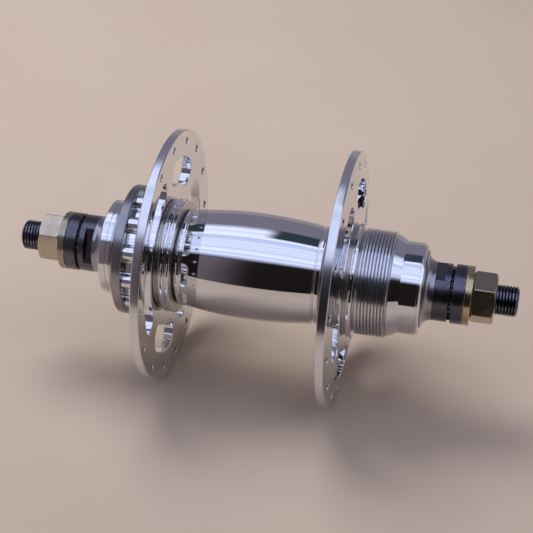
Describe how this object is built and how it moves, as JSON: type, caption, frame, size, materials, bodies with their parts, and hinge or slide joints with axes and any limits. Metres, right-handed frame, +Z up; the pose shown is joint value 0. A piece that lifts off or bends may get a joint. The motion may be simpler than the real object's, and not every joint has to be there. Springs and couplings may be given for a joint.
{
  "type": "track hub",
  "caption": "High-flange rear bicycle track hub with slotted flanges, a splined cog seat with lockring, a freewheel thread, sealed bearings and a nutted solid axle.",
  "frame": {"origin": "middle of the axle, halfway between the outer faces of the two locknuts", "axes": "+X along the axle towards the freewheel thread, +Z up, with the hub's axle level"},
  "size_m": [0.1666, 0.0838, 0.0838],
  "materials": {
    "hub_polish": "mirror polished",
    "lockring_satin": "satin turned",
    "black_oxide": "satin black oxide",
    "dust_cap_grey": "satin grey",
    "lock_washer_steel": "dark plated",
    "nut_plate": "zinc plated, pale yellow",
    "washer_gold": "zinc plated, gold",
    "bearing_steel": "ground and polished",
    "cage_nylon": "natural nylon",
    "seal_rubber": "matt black",
    "sleeve_alloy": "turned"
  },
  "bodies": {
    "axle_group": {"axle": "black_oxide", "axle_sleeve": "sleeve_alloy", "left_bearing_inner_race": "bearing_steel", "left_dust_cap": "dust_cap_grey", "left_adjusting_nut": "black_oxide", "left_lock_washer": "lock_washer_steel", "left_locknut": "black_oxide", "right_bearing_inner_race": "bearing_steel", "right_dust_cap": "dust_cap_grey", "right_adjusting_nut": "black_oxide", "right_lock_washer": "lock_washer_steel", "right_locknut": "black_oxide"},
    "hub": {"hub_shell": "hub_polish", "cog_lockring": "lockring_satin", "left_bearing_outer_race": "bearing_steel", "left_outboard_seal": "seal_rubber", "left_inboard_seal": "seal_rubber", "right_bearing_outer_race": "bearing_steel", "right_outboard_seal": "seal_rubber", "right_inboard_seal": "seal_rubber"},
    "left_ball_set": {"left_bearing_balls": "bearing_steel", "left_bearing_cage": "cage_nylon"},
    "left_washer": {"left_nut_washer": "washer_gold"},
    "left_nut": {"left_axle_nut": "nut_plate"},
    "right_ball_set": {"right_bearing_balls": "bearing_steel", "right_bearing_cage": "cage_nylon"},
    "right_washer": {"right_nut_washer": "washer_gold"},
    "right_nut": {"right_axle_nut": "nut_plate"}
  },
  "joints": [
    {"name": "hub_spin", "type": "hinge", "parent": "axle_group", "child": "hub", "pos_m": [0, 0, 0], "axis": [1, 0, 0], "continuous": true},
    {"name": "left_balls_turn", "type": "hinge", "parent": "axle_group", "child": "left_ball_set", "pos_m": [0, 0, 0], "axis": [1, 0, 0], "continuous": true},
    {"name": "right_balls_turn", "type": "hinge", "parent": "axle_group", "child": "right_ball_set", "pos_m": [0, 0, 0], "axis": [1, 0, 0], "continuous": true},
    {"name": "left_washer_slide", "type": "slide", "parent": "axle_group", "child": "left_washer", "axis": [-1, 0, 0], "range_m": [0, 0.00601]},
    {"name": "left_nut_turn", "type": "hinge", "parent": "left_washer", "child": "left_nut", "pos_m": [-0.072, 0, 0], "axis": [-1, 0, 0], "range_deg": [0, 2160]},
    {"name": "right_washer_slide", "type": "slide", "parent": "axle_group", "child": "right_washer", "axis": [1, 0, 0], "range_m": [0, 0.00601]},
    {"name": "right_nut_turn", "type": "hinge", "parent": "right_washer", "child": "right_nut", "pos_m": [0.072, 0, 0], "axis": [1, 0, 0], "range_deg": [0, 2160]}
  ],
  "couplings": [
    {"joint": "left_balls_turn", "follows": "hub_spin", "ratio": 0.63228},
    {"joint": "right_balls_turn", "follows": "hub_spin", "ratio": 0.63228},
    {"joint": "left_washer_slide", "follows": "left_nut_turn", "m_per_rad": 0.00015915},
    {"joint": "right_washer_slide", "follows": "right_nut_turn", "m_per_rad": 0.00015915}
  ]
}
